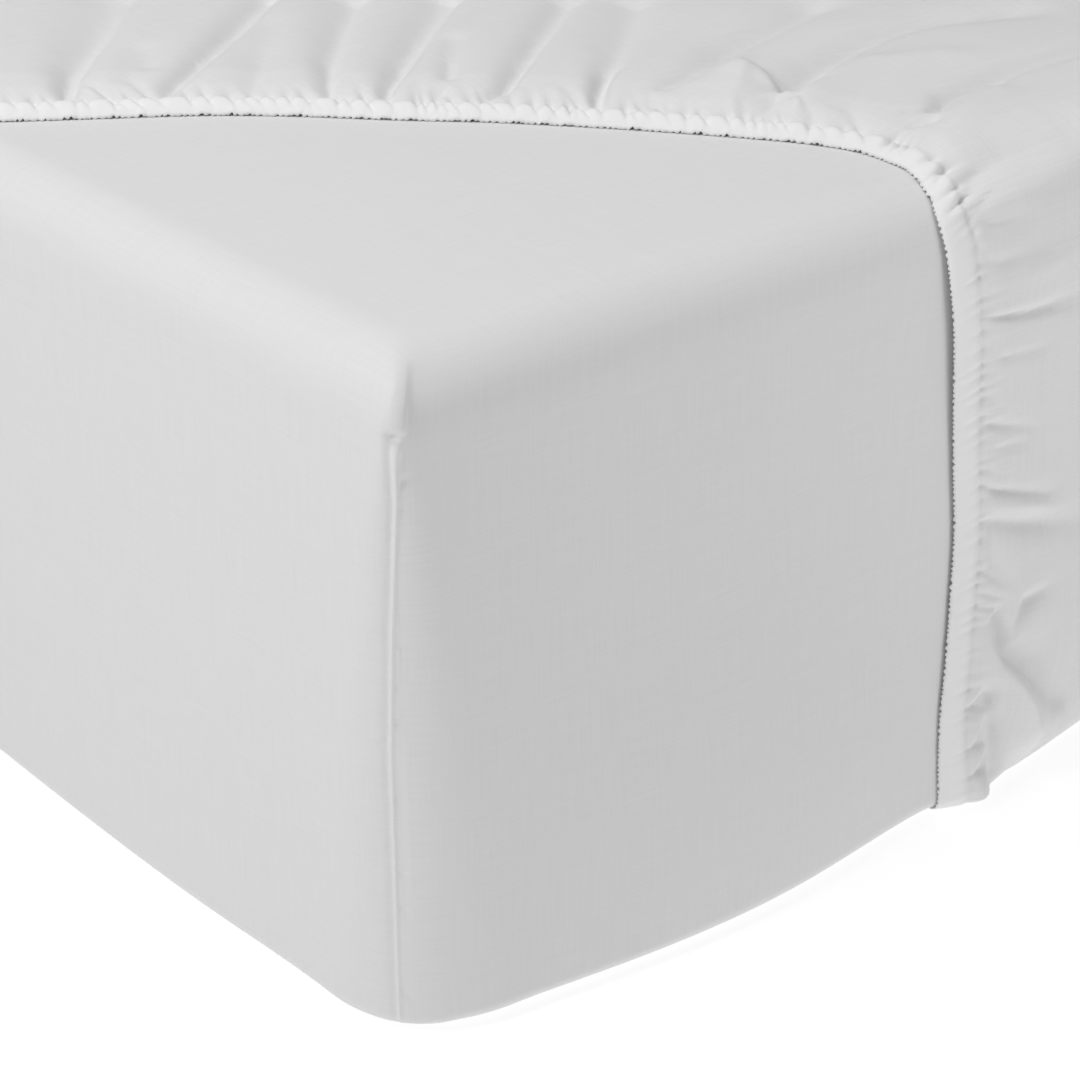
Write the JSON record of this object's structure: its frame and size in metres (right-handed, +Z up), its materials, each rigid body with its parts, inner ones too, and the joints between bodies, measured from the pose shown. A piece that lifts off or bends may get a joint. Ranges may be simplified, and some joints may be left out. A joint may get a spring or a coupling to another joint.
{
  "type": "fitted sheet on a mattress",
  "caption": "White cotton fitted sheet on a deep single mattress, drawn back from one corner so its gathered elastic hem shows over the smooth cotton cover.",
  "frame": {"origin": "middle of the resting face, on the surface the mattress lies on", "axes": "+Z up, +Y along the mattress from the foot end to the head end, +X across it; the bared corner is at low X and low Y"},
  "size_m": [0.9248, 2.0328, 0.3196],
  "materials": {
    "sheet_cotton": "plain woven white cotton, matt, gathered on an elastic hem",
    "cover_cotton": "plain woven white cotton, matt, pulled smooth, one raised seam down each corner",
    "foam": "plain off-white foam block, matt"
  },
  "bodies": {
    "root": {"fitted_sheet": "sheet_cotton", "mattress_cover": "cover_cotton", "mattress": "foam"}
  },
  "joints": []
}
